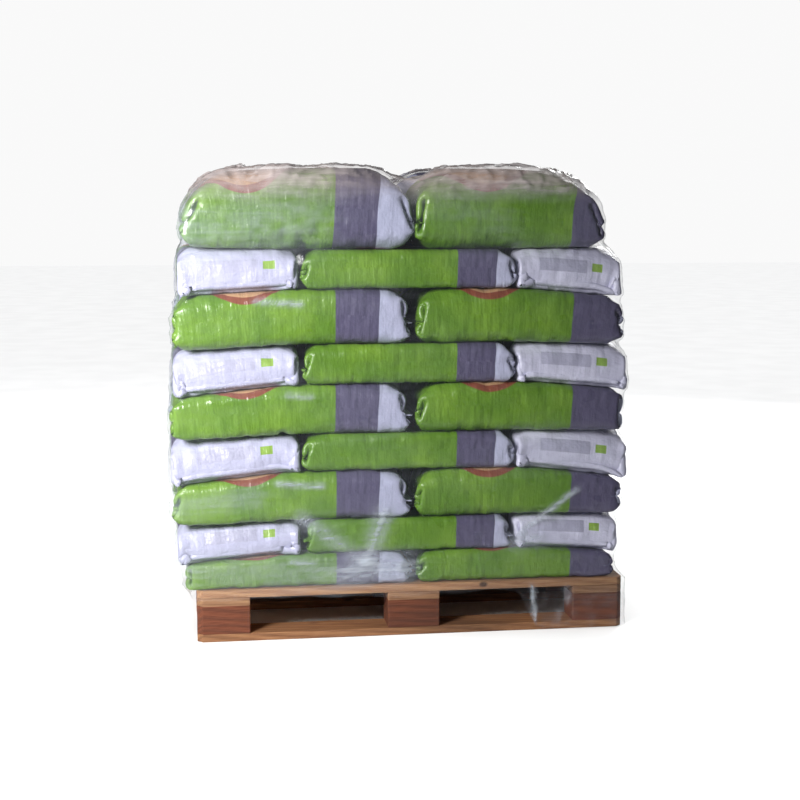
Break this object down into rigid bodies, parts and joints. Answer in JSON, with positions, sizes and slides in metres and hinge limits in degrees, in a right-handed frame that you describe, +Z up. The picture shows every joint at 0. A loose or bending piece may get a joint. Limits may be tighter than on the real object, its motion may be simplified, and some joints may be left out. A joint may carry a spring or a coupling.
{
  "type": "pallet of sacks",
  "caption": "Block pallet with crossed layers of plump filled plastic sacks, held together by clear stretch film; forks enter from all four sides.",
  "frame": {"origin": "on the floor under the middle of the pallet", "axes": "+X along the pallet's long side, to the right as seen from the front; +Y from the front to the back; +Z up"},
  "size_m": [1.282, 0.803, 1.3095],
  "materials": {
    "pallet_wood": "sawn, weathered",
    "foot_wood": "sawn, scuffed and dirty",
    "sack_film": "printed polyethylene film, green with a grey band and a white end",
    "stretch_film": "clear, glossy, wrinkled"
  },
  "bodies": {
    "root": {"foot_board_front": "foot_wood", "foot_board_middle": "foot_wood", "foot_board_back": "foot_wood", "block_front_left": "pallet_wood", "block_front_centre": "pallet_wood", "block_front_right": "pallet_wood", "block_middle_left": "pallet_wood", "block_middle_centre": "pallet_wood", "block_middle_right": "pallet_wood", "block_back_left": "pallet_wood", "block_back_centre": "pallet_wood", "block_back_right": "pallet_wood", "bearer_left": "pallet_wood", "bearer_centre": "pallet_wood", "bearer_right": "pallet_wood", "deck_board_1": "pallet_wood", "deck_board_2": "pallet_wood", "deck_board_3": "pallet_wood", "deck_board_4": "pallet_wood", "deck_board_5": "pallet_wood", "sack_1_front_left": "sack_film", "sack_1_front_right": "sack_film", "sack_1_back_left": "sack_film", "sack_1_back_right": "sack_film", "sack_2_left": "sack_film", "sack_2_right": "sack_film", "sack_2_front_middle": "sack_film", "sack_2_back_middle": "sack_film", "sack_3_front_left": "sack_film", "sack_3_front_right": "sack_film", "sack_3_back_left": "sack_film", "sack_3_back_right": "sack_film", "sack_4_left": "sack_film", "sack_4_right": "sack_film", "sack_4_front_middle": "sack_film", "sack_4_back_middle": "sack_film", "sack_5_front_left": "sack_film", "sack_5_front_right": "sack_film", "sack_5_back_left": "sack_film", "sack_5_back_right": "sack_film", "sack_6_left": "sack_film", "sack_6_right": "sack_film", "sack_6_front_middle": "sack_film", "sack_6_back_middle": "sack_film", "sack_7_front_left": "sack_film", "sack_7_front_right": "sack_film", "sack_7_back_left": "sack_film", "sack_7_back_right": "sack_film", "sack_8_left": "sack_film", "sack_8_right": "sack_film", "sack_8_front_middle": "sack_film", "sack_8_back_middle": "sack_film", "sack_9_front_left": "sack_film", "sack_9_front_right": "sack_film", "sack_9_back_left": "sack_film", "sack_9_back_right": "sack_film", "stretch_film": "stretch_film"}
  },
  "joints": []
}
